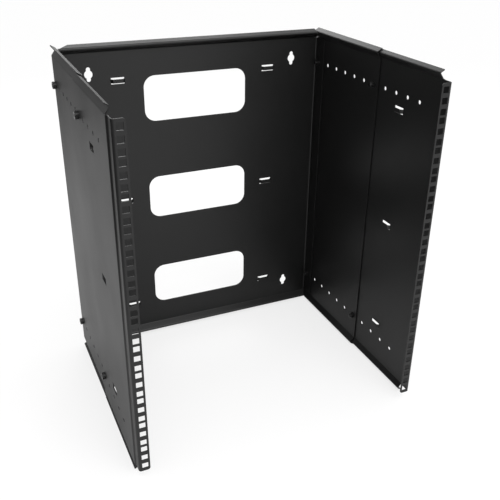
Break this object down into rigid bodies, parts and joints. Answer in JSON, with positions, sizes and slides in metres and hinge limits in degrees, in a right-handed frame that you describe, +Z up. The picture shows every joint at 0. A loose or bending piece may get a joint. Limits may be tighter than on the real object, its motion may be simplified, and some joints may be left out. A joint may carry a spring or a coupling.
{
  "type": "wall mount open frame rack",
  "caption": "Open wall frame of folded black sheet: a windowed back plate, lapped side panels that set the depth, and front rails with columns of square holes.",
  "frame": {"origin": "middle of the footprint, on the surface that the lower folded edges rest on", "axes": "+Y points at the wall, +Z up, +X to the right for someone who faces the rails"},
  "size_m": [0.5008, 0.3868, 0.5706],
  "materials": {
    "powder_coated_steel": "fine textured black powder coat, satin",
    "black_fastener": "black oxide steel, satin"
  },
  "bodies": {
    "root": {"back_plate": "powder_coated_steel", "left_rear_panel": "powder_coated_steel", "left_front_panel": "powder_coated_steel", "right_rear_panel": "powder_coated_steel", "right_front_panel": "powder_coated_steel", "left_lower_set_bolt": "black_fastener", "left_lower_set_nut": "black_fastener", "left_lower_corner_bolt": "black_fastener", "left_lower_corner_nut": "black_fastener", "left_upper_set_bolt": "black_fastener", "left_upper_set_nut": "black_fastener", "left_upper_corner_bolt": "black_fastener", "left_upper_corner_nut": "black_fastener", "right_lower_set_bolt": "black_fastener", "right_lower_set_nut": "black_fastener", "right_lower_corner_bolt": "black_fastener", "right_lower_corner_nut": "black_fastener", "right_upper_set_bolt": "black_fastener", "right_upper_set_nut": "black_fastener", "right_upper_corner_bolt": "black_fastener", "right_upper_corner_nut": "black_fastener"}
  },
  "joints": []
}
